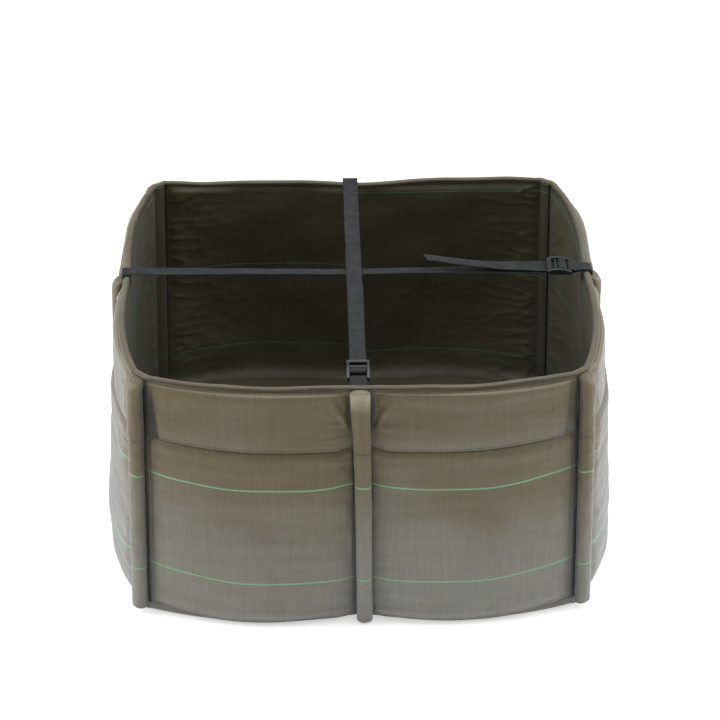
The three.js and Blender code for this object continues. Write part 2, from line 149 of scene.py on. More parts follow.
class Shader:
    """A material under construction: each method adds one node and returns its output."""

    def __init__(self, name, roughness, sheen=0.0, tint=(1, 1, 1), specular=0.5):
        self.material = bpy.data.materials.new(name)
        self.material.use_nodes = True
        self.tree = self.material.node_tree
        self.shader = self.tree.nodes["Principled BSDF"]
        inputs = self.shader.inputs
        inputs["Roughness"].default_value = roughness
        inputs["Sheen Weight"].default_value = sheen
        inputs["Sheen Roughness"].default_value = SHEEN_ROUGHNESS
        inputs["Sheen Tint"].default_value = (*tint, 1)
        inputs["Specular IOR Level"].default_value = specular

    def link(self, source, socket):
        if isinstance(source, (int, float, tuple)):
            socket.default_value = source
        else:
            self.tree.links.new(source, socket)

    def math(self, operation, a, b=0.0, c=0.0):
        node = self.tree.nodes.new("ShaderNodeMath")
        node.operation = operation
        for value, socket in zip((a, b, c), node.inputs):
            self.link(value, socket)
        return node.outputs[0]

    def total(self, *values):
        whole = values[0]
        for value in values[1:]:
            whole = self.math("ADD", whole, value)
        return whole

    def attribute(self, name):
        node = self.tree.nodes.new("ShaderNodeAttribute")
        node.attribute_name = name
        return node.outputs["Fac"]

    def uv(self):
        """The weave coordinates: metres across and metres down the cloth."""
        node = self.tree.nodes.new("ShaderNodeUVMap")
        node.uv_map = "weave"
        split = self.tree.nodes.new("ShaderNodeSeparateXYZ")
        self.link(node.outputs[0], split.inputs[0])
        return split.outputs[0], split.outputs[1]

    def place(self):
        return self.tree.nodes.new("ShaderNodeTexCoord").outputs["Object"]

    def vector(self, x, y, z=0.0):
        node = self.tree.nodes.new("ShaderNodeCombineXYZ")
        for value, socket in zip((x, y, z), node.inputs):
            self.link(value, socket)
        return node.outputs[0]

    def noise(self, vector, scale, detail=2.0, rough=0.5):
        node = self.tree.nodes.new("ShaderNodeTexNoise")
        for value, socket in zip((vector, scale, detail, rough), ("Vector", "Scale", "Detail", "Roughness")):
            self.link(value, node.inputs[socket])
        return node.outputs["Fac"]

    def ramp(self, value, low, high):
        node = self.tree.nodes.new("ShaderNodeMapRange")
        node.interpolation_type = "SMOOTHSTEP"
        self.link(value, node.inputs["Value"])
        node.inputs["From Min"].default_value = low
        node.inputs["From Max"].default_value = high
        return node.outputs[0]

    def mix(self, factor, a, b):
        node = self.tree.nodes.new("ShaderNodeMix")
        node.data_type = "RGBA"
        self.link(factor, node.inputs["Factor"])
        self.link(a, node.inputs["A"])
        self.link(b, node.inputs["B"])
        return node.outputs["Result"]

    def times(self, colour, factor):
        node = self.tree.nodes.new("ShaderNodeHueSaturation")
        self.link(factor, node.inputs["Value"])
        self.link(colour, node.inputs["Color"])
        return node.outputs[0]

    def shade(self, colour, value, depth):
        """Colour made darker or lighter by up to depth as value goes from 0 to 1."""
        return self.times(colour, self.math("MULTIPLY_ADD", value, 2 * depth, 1 - depth))

    def darken(self, colour, amount):
        """Colour times 1 minus amount."""
        return self.times(colour, self.math("SUBTRACT", 1.0, amount))

    def bump(self, height, distance, strength=1.0):
        node = self.tree.nodes.new("ShaderNodeBump")
        node.inputs["Distance"].default_value = distance
        node.inputs["Strength"].default_value = strength
        self.link(height, node.inputs["Height"])
        self.link(node.outputs[0], self.shader.inputs["Normal"])

    def threads(self, u, v, pitch):
        """A plain weave: its height, a value for each upright and each level tape, and which one is over."""
        across = self.math("DIVIDE", u, pitch)
        down = self.math("DIVIDE", v, pitch)
        bulge_u = self.math("ABSOLUTE", self.math("SINE", self.math("MULTIPLY", across, math.pi)))
        bulge_v = self.math("ABSOLUTE", self.math("SINE", self.math("MULTIPLY", down, math.pi)))
        cell_u, cell_v = self.math("FLOOR", across), self.math("FLOOR", down)
        over = self.math("PINGPONG", self.math("ADD", cell_u, cell_v), 1.0)
        level = self.math("MULTIPLY", self.math("SUBTRACT", 1.0, over), bulge_v)
        height = self.math("MULTIPLY_ADD", over, bulge_u, level)
        along_upright = self.vector(self.math("MULTIPLY", cell_u, 7.31), self.math("MULTIPLY", v, 14.0))
        along_level = self.vector(self.math("MULTIPLY", u, 14.0), self.math("MULTIPLY", cell_v, 5.17))
        return height, self.noise(along_upright, 1.0), self.noise(along_level, 1.0), over

    def finish(self, colour):
        self.link(colour, self.shader.inputs["Base Color"])
        return self.material


TAPE = 0.0016  # pitch of the woven tapes
TRACER = (0.0008, 0.0015)  # half the width of a tracer thread: of its full colour, and of all of it
BODY_REFLECTION, CUFF_REFLECTION = (0.110, 0.370), (0.062, 0.110)  # painted reflection: the cloth is painted grey, for the pale floor's sheen on it, this far down from the rim
CUFF_REFLECTION_GREY = 0.42  # how grey the painted reflection makes the hem of a cuff
RIB_PITCH, CORD_PITCH = 0.0016, 0.0019  # along and across the webbing
SELVEDGE = (0.0102, 0.0116)  # from the middle of the webbing


def tracer(s, v, below):
    """1 on a green tracer thread that lies this far down the cloth."""
    off = s.math("ABSOLUTE", s.math("SUBTRACT", v, below))
    return s.math("SUBTRACT", 1.0, s.ramp(off, *TRACER))


def cloth_material(name, brown, grey, lines, green, sheen):
    """Woven tape cloth, brown at its top and grey lower down and at the hem of a cuff, where the grey is a
    painted reflection of the pale floor. lines are the depths of its green tracer threads."""
    s = Shader(name, 0.50, sheen=sheen, tint=(0.80, 0.89, 1.0), specular=0.45)
    u, v = s.uv()
    height, upright_tape, level_tape, over = s.threads(u, v, TAPE)
    place = s.place()
    patch = s.noise(place, 6.0, 3.0)
    streak = s.noise(s.vector(s.math("MULTIPLY", u, 4.0), s.math("MULTIPLY", v, 34.0)), 1.0, 3.0)
    # Painted reflection: grey further down the cloth and at the hem of a cuff, plus patches and streaks of
    # the cloth's own tone.
    cuff_reflection = s.math("MULTIPLY", s.ramp(v, *CUFF_REFLECTION), s.attribute("cuffed"))
    reflection_and_tone = s.math("MAXIMUM", s.math("MULTIPLY", cuff_reflection, CUFF_REFLECTION_GREY), s.ramp(v, *BODY_REFLECTION))
    patchy = s.math("MULTIPLY_ADD", patch, 1.5, -0.75)
    streaky = s.math("MULTIPLY_ADD", streak, 0.5, -0.25)
    reflection_and_tone = s.total(reflection_and_tone, patchy, streaky)
    colour = s.mix(s.ramp(reflection_and_tone, -0.15, 1.15), brown, grey)
    # Pale cream: worn tops of the sleeves, and on the cuffs a pale band under the rim that is partly wear and
    # partly painted highlight.
    colour = s.mix(s.attribute("wear_and_highlight"), colour, PALE_WEAR_AND_HIGHLIGHT)
    colour = s.shade(colour, s.ramp(upright_tape, 0.3, 0.7), 0.085)
    colour = s.shade(colour, s.ramp(level_tape, 0.3, 0.7), 0.05)
    # Painted shade in the low places of the weave.
    colour = s.shade(colour, height, 0.07)
    line = tracer(s, v, lines[0])
    for below in lines[1:]:
        line = s.math("MAXIMUM", line, tracer(s, v, below))
    broken = s.math("MULTIPLY", line, s.math("MULTIPLY_ADD", over, 0.2, 0.8))
    colour = s.mix(broken, colour, green)
    # Painted shade: darker in the grooves, seams, folds and hollows, on the backs of the sleeves and under
    # the rims; on a rim also a darker tone of its own.
    colour = s.darken(colour, s.attribute("painted_shade_and_tone"))
    s.bump(s.math("ADD", height, s.math("MULTIPLY", line, 0.6)), 0.00015, 0.6)
    return s.finish(colour)


def webbing_material():
    s = Shader("webbing", 0.60, sheen=0.06, tint=(0.8, 0.87, 1.0), specular=0.3)
    u, v = s.uv()
    ribs = s.math("ABSOLUTE", s.math("SINE", s.math("MULTIPLY", v, math.pi / RIB_PITCH)))
    cords = s.math("ABSOLUTE", s.math("SINE", s.math("MULTIPLY", u, math.pi / CORD_PITCH)))
    weave = s.math("MULTIPLY_ADD", ribs, 0.65, s.math("MULTIPLY", cords, 0.35))
    dust = s.noise(s.place(), 60.0, 4.0, 0.6)
    colour = s.mix(s.ramp(dust, 0.35, 0.80), linear(22, 24, 26), linear(40, 43, 45))
    selvedge = s.ramp(s.math("ABSOLUTE", u), *SELVEDGE)
    colour = s.darken(colour, s.math("MULTIPLY", selvedge, 0.25))
    # Painted shade between the ribs and cords of the weave.
    colour = s.shade(colour, weave, 0.28)
    s.bump(weave, 0.0003, 0.8)
    return s.finish(colour)


def plain_material(name, dark, light, roughness, scale, depth, specular=0.5):
    """A moulded, felted or spun surface: mottled colour, and a fine grain in its surface and gloss."""
    s = Shader(name, roughness, specular=specular)
    grain = s.noise(s.place(), scale, 4.0, 0.6)
    soft = s.noise(s.place(), scale / 12, 2.0)
    colour = s.mix(s.ramp(soft, 0.3, 0.7), dark, light)
    s.link(s.math("MULTIPLY_ADD", grain, 0.25, roughness - 0.12), s.shader.inputs["Roughness"])
    s.bump(grain, depth, 0.6)
    return s.finish(colour)


GREEN = linear(104, 166, 110)
PALE_WEAR_AND_HIGHLIGHT = linear(150, 144, 120)
GREEN_INSIDE = linear(66, 104, 74)
CLOTH = cloth_material("woven_cloth", linear(90, 79, 52), linear(112, 110, 102), (0.166, 0.332), GREEN, 0.45)
LINING = cloth_material(
    "lining_cloth", linear(62, 57, 38), linear(70, 67, 52), (0.022, 0.188, 0.354), GREEN_INSIDE, 0.10
)
WEBBING_CLOTH = webbing_material()
PLASTIC = plain_material("buckle_plastic", linear(30, 34, 36), linear(42, 47, 49), 0.36, 900, 0.00004)
FELT = plain_material("felt", linear(58, 56, 52), linear(74, 72, 66), 0.95, 1400, 0.0004, 0.2)
ROD = plain_material("rod_plastic", linear(36, 38, 40), linear(48, 50, 53), 0.5, 700, 0.00005)
THREAD = plain_material("sewing_thread", linear(44, 40, 32), linear(62, 57, 46), 0.7, 2500, 0.0001)


# ---------------------------------------------------------------- mesh making


def turned(points, side):
    """Points of a side built facing the front, turned to where the side is."""
    c, s = ((1, 0), (0, 1), (-1, 0), (0, -1))[SIDES[side]["turn"]]  # cosine and sine
    out = np.array(points, float)
    x, y = out[..., 0].copy(), out[..., 1].copy()
    out[..., 0], out[..., 1] = x * c - y * s, x * s + y * c
    return out


def unit(vectors):
    return vectors / np.linalg.norm(vectors, axis=-1, keepdims=True)


def surface(name, points, uv, material, outward, closed=False, thickness=0.0, marks=None):
    """A grid of points as a mesh object, facing the way that outward gives for a point on it. closed joins
    the last column to the first, and uv has a column more. marks are fields that the material reads."""
    columns, rows = points.shape[:2]
    span = columns if closed else columns - 1
    i, j = np.meshgrid(np.arange(span), np.arange(rows - 1), indexing="ij")
    here, after = i * rows + j, (i + 1) % columns * rows + j
    quads = np.stack([here, after, after + 1, here + 1], -1).reshape(-1, 4)
    corners = np.stack([here, here + rows, here + rows + 1, here + 1], -1).reshape(-1, 4)
    flat = points.reshape(-1, 3)
    middle = quads[len(quads) // 2]
    normal = np.cross(flat[middle[1]] - flat[middle[0]], flat[middle[3]] - flat[middle[0]])
    centre = flat[middle].mean(0)
    if normal @ outward(centre) < 0:
        quads, corners = quads[:, ::-1], corners[:, ::-1]
    mesh = bpy.data.meshes.new(name)
    mesh.from_pydata(flat.tolist(), [], quads.tolist())
    layer = mesh.uv_layers.new(name="weave")
    layer.data.foreach_set("uv", uv.reshape(-1, 2)[corners.reshape(-1)].reshape(-1).astype(np.float32))
    mesh.polygons.foreach_set("use_smooth", np.ones(len(mesh.polygons), bool))
    mesh.materials.append(material)
    for mark, field in (marks or {}).items():
        layer = mesh.attributes.new(mark, "FLOAT", "POINT")
        layer.data.foreach_set("value", np.clip(field, 0, 0.9).reshape(-1).astype(np.float32))
    obj = added(name, mesh)
    if thickness:
        solid = obj.modifiers.new("thickness", "SOLIDIFY")
        solid.thickness, solid.offset = thickness, -1
    return obj


def settle(obj, body, node):
    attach(obj, body)
    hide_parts(node)


def out_of(line):
    """For a tube round this line: the way out of it at a point."""
    return lambda p: p - line[np.argmin(np.linalg.norm(line - p, axis=1))]


def eased(count):
    """Steps from 0 to 1, closer together at both ends."""
    return 0.5 - 0.5 * np.cos(np.linspace(0, math.pi, count))


def smooth(x, low, high):
    """0 up to low, 1 from high on, and an S curve between them."""
    t = np.clip((x - low) / (high - low), 0, 1)
    return t * t * (3 - 2 * t)


def bell(x, width):
    """1 at 0, and close to 0 past this width."""
    return np.exp(-((x / width) ** 2))


def ripples(u, v, length_u, length_v, waves=14):
    """A soft random field, about -1 to 1, whose features are this long each way."""
    field = np.zeros(np.broadcast(u, v).shape)
    for _ in range(waves):
        ku = rng.normal() / length_u
        kv = rng.normal() / length_v
        field += np.sin(2 * math.pi * (ku * u + kv * v) * 0.6 + rng.uniform(0, 2 * math.pi))
    return field / math.sqrt(waves)


def creases(u, v, length_u, length_v):
    """Narrow folds with soft valleys between them, 0 to about 1."""
    field = ripples(u, v, length_u, length_v)
    return np.clip(1 - np.abs(field) * 1.6, 0, 1) ** 1.5


def close_ends(obj):
    """Fills the small rings left open at the ends of a tube."""
    mesh = bmesh.new()
    mesh.from_mesh(obj.data)
    bmesh.ops.holes_fill(mesh, edges=[e for e in mesh.edges if e.is_boundary], sides=0)
    for face in mesh.faces:
        face.smooth = len(face.verts) == 4
    mesh.to_mesh(obj.data)
    mesh.free()


def along_path(path):
    """The length of a path up to each of its points."""
    return np.concatenate([[0], np.cumsum(np.linalg.norm(np.diff(path, axis=0), axis=1))])


def tube_frames(path):
    """The level and the upward direction across a path at each of its points."""
    tangent = unit(np.gradient(path, axis=0))
    sideways = unit(np.cross(tangent, np.array([0, 0, 1.0])))
    return sideways, np.cross(sideways, tangent)


def smoothed(points, count):
    """A Catmull-Rom curve through points, evenly spaced."""
    p = np.array(points, float)
    p = np.concatenate([[2 * p[0] - p[1]], p, [2 * p[-1] - p[-2]]])
    t = np.linspace(0, 1, 24, endpoint=False)[:, None]
    spans = [
        0.5 * (2 * b + (c - a) * t + (2 * a - 5 * b + 4 * c - d) * t**2 + (3 * b - a - 3 * c + d) * t**3)
        for a, b, c, d in zip(p, p[1:], p[2:], p[3:])
    ]
    dense = np.concatenate(spans + [p[-2:-1]])
    length = along_path(dense)
    even = np.linspace(0, length[-1], count)
    return np.stack([np.interp(even, length, dense[:, k]) for k in range(dense.shape[1])], -1)


STITCH_PITCH, STITCH_LENGTH, THREAD_RADIUS = 0.0044, 0.0032, 0.00038


def stitches(name, path, outward):
    """A row of sewn stitches along a path: short round threads that dip into the cloth at both ends."""
    length = along_path(path)
    middles = np.arange(STITCH_PITCH, length[-1], STITCH_PITCH)
    at = np.stack([np.interp(middles, length, path[:, k]) for k in range(3)], -1)
    facing = np.broadcast_to(outward, path.shape)
    lift = np.stack([np.interp(middles, length, facing[:, k]) for k in range(3)], -1)
    run = unit(np.gradient(at, axis=0))
    lift = unit(lift - (lift * run).sum(1)[:, None] * run)
    level = np.cross(run, lift)
    share = np.array([-1, -0.75, -0.3, 0.3, 0.75, 1.0])
    angle = np.linspace(0, 2 * math.pi, 6, endpoint=False)
    thick = THREAD_RADIUS * np.sqrt(1.02 - share**2)
    rise = THREAD_RADIUS * (0.9 - 1.5 * share**4)
    centre = at[:, None] + run[:, None] * (share * STITCH_LENGTH / 2)[:, None] + lift[:, None] * rise[:, None]
    rings = centre[:, :, None] + thick[:, None, None] * (
        lift[:, None, None] * np.sin(angle)[:, None] + level[:, None, None] * np.cos(angle)[:, None]
    )
    n = len(angle)
    points_each = n * len(share)
    faces = []
    for first in range(0, len(at) * points_each, points_each):
        last = first + points_each - n
        for ring in range(first, last, n):
            for k in range(n):
                after = (k + 1) % n
                faces.append((ring + k, ring + after, ring + n + after, ring + n + k))
        faces.append(tuple(range(first + n - 1, first - 1, -1)))
        faces.append(tuple(range(last, last + n)))
    mesh = bpy.data.meshes.new(name)
    mesh.from_pydata(rings.reshape(-1, 3).tolist(), [], faces)
    mesh.materials.append(THREAD)
    mesh.polygons.foreach_set("use_smooth", np.ones(len(mesh.polygons), bool))
    obj = added(name, mesh)
    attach(obj, "bag")


# ---------------------------------------------------------------- walls


def corner_at(z):
    """The middle of a side to its corner seam, at this height."""
    return HALF + FOOT_SPREAD * (1 - z / HEIGHT)


def wall_out(side, along, z):
    """How far the wall's face stands out of the bag's middle."""
    bulge, rim_lobe = SIDES[side]["bulge"], SIDES[side]["lobe"]
    from_corner = 1 - np.clip(np.abs(along) / corner_at(z), 0, 1)
    rise = np.clip((z - BELLY_HEIGHT) / (HEIGHT - BELLY_HEIGHT), 0, 1)
    low = BELLY - BELLY_TUCK * (1 - np.clip(z / BELLY_HEIGHT, 0, 1)) ** 2
    swell = np.where(z < BELLY_HEIGHT, low, BELLY + (bulge - BELLY) * rise**1.5)
    lobe = BODY_LOBE + (rim_lobe - BODY_LOBE) * z / HEIGHT
    return (
        corner_at(z)
        + CHAMFER
        + swell * (1 - (1 - from_corner) ** 3.4)
        + lobe * np.sin(math.pi * from_corner)
    )


UNDER_SLEEVE = 0.006  # the outer cloth starts this far from the middle of a side, behind the sleeve
SLEEVE_SIDE = 0.0125  # and shows from here
CORNER_LAP = 0.009  # and goes on this far round the corner, behind the corner sleeve
SIDE_FOOT, CORNER_RISE = 0.0040, 0.0150  # its lower edge, and how much that rises towards a corner
# How deep the fold beside each end of a cuff is, against the deepest one: (side, half) -> share.
CORNER_FOLDS = {("front", -1): 1.0, ("front", 1): 0.4, ("right", 1): 0.6, ("left", -1): 0.7}


def foot_rise(along):
    """0 over most of a side, up to 1 at its corners."""
    return smooth(np.abs(along), 0.16, HALF) ** 1.6


def foot_tuck(along):
    """How far the foot of the outer cloth is drawn in under the wall."""
    return 0.0065 - 0.0030 * foot_rise(along)


USUAL_SLACK, SLACK = 0.0052, {"right": 0.0080}  # how far the outer cloth stands off a side between its seams
FELT_COVER = 0.0008  # the deepest a fold in the outer cloth goes into the wall: the felt is behind it
CUFF_OVER = 0.0014  # the hem of a cuff stays this much further out, over the top of the panel
HEM = HEIGHT - CUFF
HEM_DIP = 0.0070  # how much lower a hem hangs between its seams
HEM_LAP, RIM_LAP = 0.005, 0.0045  # how far a panel goes up behind its cuff, and a cuff up into the rim
CUFF_TOP = WALL_TOP + 0.0018  # what shows of a cuff ends here, under the rim
# A cuff's hollow and fold beside its middle sleeve, and its fold at a corner.
POCKET, RIDGE, CORNER_FOLD = 0.0058, 0.0030, 0.0048
HEM_ROW, RIM_ROW = 9, -12  # the rows of a cuff's points that its stitches follow


def hem_height(along):
    """Where the hem of a cuff hangs: lower between the middle sleeve and the corner."""
    return HEM - HEM_DIP * smooth(along, SLEEVE_SIDE - 0.004, 0.040) * smooth(HALF - along, 0, 0.17)


def foot_room(z):
    """Room for the cloth to turn in under the bag, below the felt."""
    return 0.03 * (1 - smooth(z, 0.0050, 0.0085))


def outer_cloth(side, half, word, kind):
    """Half of the outer cloth of a side: the cuff, or the panel below it."""
    panel = kind == "panel"
    # t goes from 0 at the middle of the side to 1 at its corner seam, and on to 2 over the lap.
    t, h = np.meshgrid(
        np.concatenate([eased(131), 1 + np.linspace(0, 1, 8)[1:]]), eased(117 if panel else 71), indexing="ij"
    )
    lap = np.maximum(t - 1, 0) * CORNER_LAP * math.sqrt(0.5)
    hem = hem_height(UNDER_SLEEVE + (HALF - UNDER_SLEEVE) * np.minimum(t, 1))
    low = SIDE_FOOT + CORNER_RISE * foot_rise(np.minimum(t, 1) * HALF) if panel else hem + 0.0002
    high = hem + HEM_LAP if panel else WALL_TOP + RIM_LAP
    z = low + (high - low) * h
    along = UNDER_SLEEVE + (corner_at(z) - UNDER_SLEEVE) * np.minimum(t, 1)
    mid_gap, corner_gap = np.maximum(along - SLEEVE_SIDE, 0), corner_at(z) - along
    seam_gap = np.minimum(mid_gap, corner_gap)
    below = HEIGHT - z
    under = 1 - smooth(along, UNDER_SLEEVE, SLEEVE_SIDE + 0.004)
    wall = wall_out(side, along, z)
    out = wall + SLACK.get(side, USUAL_SLACK) * smooth(seam_gap, 0, 0.034) - 0.0040 * under
    out -= 0.0042 * bell(corner_gap, 0.0042)
    edge = np.exp(-seam_gap / 0.045)
    away = smooth(seam_gap, 0.002, 0.015)
    loose = smooth(np.abs(z - hem), 0, 0.020)
    out += 0.0016 * ripples(along, z, 0.16, 0.12) * smooth(seam_gap, 0, 0.04) * loose
    out += 0.0009 * ripples(along, z, 0.16, 0.030) * (0.5 + edge) * away * loose
    out += 0.0018 * creases(along + 0.5 * z, z, 0.10, 0.020) * edge * away * loose
    out += 0.00016 * ripples(along, z, 0.012, 0.012, 20)
    # Painted shade in the grooves beside the middle sleeve and the corner sleeve.
    painted_shade_and_tone = 0.42 * np.exp(-mid_gap / 0.0040) + 0.50 * np.exp(-corner_gap / 0.0038)
    painted_shade_and_tone += 0.12 * np.exp(-seam_gap / 0.016)
    if panel:
        top_gap = np.maximum(hem - 0.0004 - z, 0)
        swell = 0.0040 * smooth(top_gap, 0.0005, 0.012) * np.exp(-top_gap / 0.050)
        out += swell - 0.0020 * np.exp(-top_gap / 0.003)
        foot_gap = z - low
        out -= foot_tuck(along) * (1 - smooth(foot_gap, 0, 0.024)) ** 1.5
        # Painted shade under the hem of the cuff and along the foot, where the cloth turns in.
        painted_shade_and_tone += 0.50 * np.exp(-top_gap / 0.0011) + 0.45 * np.exp(-foot_gap / 0.0022)
        behind_cuff = smooth(z, hem - 0.0006, hem + 0.0035)
        out += (wall - FELT_COVER - out) * behind_cuff
        cover = FELT_COVER
    else:
        hem_gap, rim_gap = z - low, np.maximum(CUFF_TOP - z, 0)
        out -= 0.0016 * np.exp(-hem_gap / 0.002) + 0.0034 * np.exp(-rim_gap / 0.0040)
        out += 0.0016 * bell(rim_gap - 0.016, 0.012)
        fold = CORNER_FOLDS.get((side, half), 0.5)
        width = 0.003 + 0.014 * np.clip(below / CUFF, 0, 1)
        corner_fold = fold * (1 - smooth(corner_gap, width, width + 0.004)) * smooth(below, 0.012, 0.05)
        pocket = bell(mid_gap - 0.003, 0.0065) * bell(below - 0.044, 0.026)
        slant = 0.004 + 0.55 * np.maximum(0.075 - below, 0)
        ridge = bell(mid_gap - slant, 0.0055) * bell(below - 0.045, 0.030)
        out += RIDGE * ridge - POCKET * pocket - CORNER_FOLD * corner_fold
        out -= 0.0030 * np.exp(-seam_gap / 0.022) * (1 - smooth(rim_gap, 0.018, 0.073))
        under_rim = smooth(z, WALL_TOP - 0.006, CUFF_TOP)
        out += (wall - FELT_COVER - out) * under_rim
        cover = FELT_COVER - CUFF_OVER * (1 - smooth(z, hem + 0.02, hem + 0.04))
        # Painted shade along the hem, under the rim, in the hollow beside the middle sleeve and in the corner
        # fold.
        painted_shade_and_tone += 0.40 * np.exp(-hem_gap / 0.0009) + 0.45 * np.exp(-rim_gap / 0.0012)
        painted_shade_and_tone += 0.74 * pocket + 0.72 * corner_fold
    out = np.maximum(out, wall - cover - foot_room(z))
    points = np.stack([(along + lap) * half, lap - out, z], -1)
    points[..., 1] += 0.0016 * smooth(t, 1, 1.6)
    points = turned(points, side)
    stretch = 1 + 0.035 * smooth(corner_gap, 0, 0.15)
    # The cloth hangs lower between the seams, and its upper tracer thread with it.
    dropped = smooth(mid_gap, 0, 0.08) * smooth(corner_gap, 0, 0.15) * (1 - smooth(below, 0.18, 0.32))
    uv = np.stack([(along + lap) * half, below / stretch * 1.018 - 0.0042 * dropped], -1)
    name = f"{'cloth_panel' if panel else 'cuff_cloth'}_{side}_{word}"
    # A pale band just under the rim groove, partly wear and partly a painted highlight where the cuff bulges
    # up into the light.
    wear_and_highlight = 0 * t if panel else 0.34 * bell(rim_gap - 0.0047, 0.0014)
    marks = {"painted_shade_and_tone": painted_shade_and_tone, "cuffed": 0 * t + (not panel), "wear_and_highlight": wear_and_highlight}
    obj = surface(name, points, uv, CLOTH, lambda p: np.array([p[0], p[1], 0]), thickness=0.0012, marks=marks)
    settle(obj, "bag", f"{'outer_panel' if panel else 'cuff'}_{side}_{word}")
    if not panel:
        facing = turned(np.array([0, -1.0, 0]), side)
        for row, which in ((HEM_ROW, "hem"), (RIM_ROW, "rim")):
            stitches(f"{which}_stitches_{side}_{word}", points[22:-14, row], facing)


LINING_FOOT, LINING_TOP = 0.013, WALL_TOP + 0.004
LINING_LAP = 0.0055  # a side's lining goes on this far behind the corner of the next one
UNDER_RIM = 0.0086  # its depth where it goes up into the rim
LINING_ROWS = 121


def lining_cloth(side):
    """The lining of a side, which goes on over the cut-off corner at its left."""
    tall = LINING_TOP - LINING_FOOT
    s, h = np.meshgrid(np.linspace(1, -1, 201), np.linspace(0, 1, LINING_ROWS), indexing="ij")
    z = LINING_FOOT + tall * h
    seam = corner_at(z) - MITRE * LINING_DEPTH
    along = s * (seam - 0.0006)
    along[0] += LINING_LAP
    gap = seam - np.abs(along)
    inside = LINING_DEPTH + 0.0016 * smooth(gap, 0, 0.02)
    inside += 0.0016 * (1 + ripples(along, z, 0.15, 0.11)) * smooth(gap, 0, 0.03)
    gathered = np.exp(-gap / 0.06) * smooth(gap, 0.002, 0.02)
    inside += 0.0040 * creases(along + 0.35 * z, z, 0.09, 0.028) * gathered
    inside += 0.0002 * ripples(along, z, 0.012, 0.012, 20)
    inside += 0.012 * (1 - smooth(z, 0.012, 0.045)) ** 2
    inside += (UNDER_RIM - inside) * smooth(z, WALL_TOP - 0.010, WALL_TOP)
    wall = np.stack([along, -(wall_out(side, along, z) - inside), z], -1)
    k, hz = np.meshgrid(np.linspace(0, 1, 9)[1:], np.linspace(0, 1, LINING_ROWS), indexing="ij")
    zz = LINING_FOOT + tall * hz
    a = np.stack([-(corner_at(zz) - MITRE * LINING_DEPTH), -(corner_at(zz) + CHAMFER - LINING_DEPTH), zz], -1)
    b = np.stack([a[..., 1] + 0.0010, a[..., 0] - 0.0010, zz], -1)
    sag = 0.0015 * np.sin(math.pi * k)
    corner = a + (b - a) * k[..., None] + np.stack([sag, sag, 0 * sag], -1)
    points = turned(np.concatenate([wall, corner]), side)
    u = np.concatenate([along, -corner_at(zz) - 0.028 * k])
    heights = np.concatenate([z, zz])
    # The tracer thread near the rim runs under it on the left, and comes out on the right.
    hidden = {"front": 0 * u, "right": 0 * u, "back": smooth(u, -0.02, 0.02), "left": 1 + 0 * u}[side]
    uv = np.stack([u, HEIGHT - heights + 0.016 * hidden], -1)
    # Painted shade beside the corner seams and under the rim.
    painted_shade_and_tone = 0.55 * np.exp(-np.concatenate([gap, 0.004 + 0 * k]) / 0.004)
    marks = {"painted_shade_and_tone": painted_shade_and_tone + 0.3 * np.exp(-(WALL_TOP - heights) / 0.004)}
    inward = lambda p: -np.array([p[0], p[1], 0])
    obj = surface(f"lining_cloth_{side}", points, uv, LINING, inward, thickness=0.001, marks=marks)
    settle(obj, "bag", f"lining_{side}")


CAP_REACH, CAP_RINGS = 0.004, ((0.90, 0.40), (0.6, 0.85), (0.15, 1.0))  # shares of the width and the reach


def end_caps(points, uv):
    """Rings that round off both ends of a tube."""
    rings, coords = [points], [uv]
    for end, step in ((0, -1), (-1, 1)):
        ring = points[:, end]
        middle = ring.mean(0)
        for width, up in CAP_RINGS:
            extra = middle + (ring - middle) * width + np.array([0, 0, step * CAP_REACH * up])
            if step < 0:
                rings.insert(0, extra[:, None])
                coords.insert(0, uv[:, :1] + np.array([0, 0.002 * up]))
            else:
                rings.append(extra[:, None])
                coords.append(uv[:, -1:] - np.array([0, 0.002 * up]))
    return np.concatenate(rings, 1), np.concatenate(coords, 1)


SLEEVE_TOP = 0.020  # over this height the top of a sleeve leans in under the rim
USUAL_WEAR, WORN_TOPS = 0.15, {("front", "middle"): 0.75}  # how far the top of a sleeve has paled with wear
# Each kind of sleeve: its foot, half its width and half its depth.
SLEEVES = {"middle": (0.001, 0.0137, 0.0106), "corner": (0.009, 0.0138, 0.0112)}
SLEEVE_LEAN = {"front": 0.0022, "right": 0.001, "back": -0.001, "left": -0.0015}  # of a middle sleeve


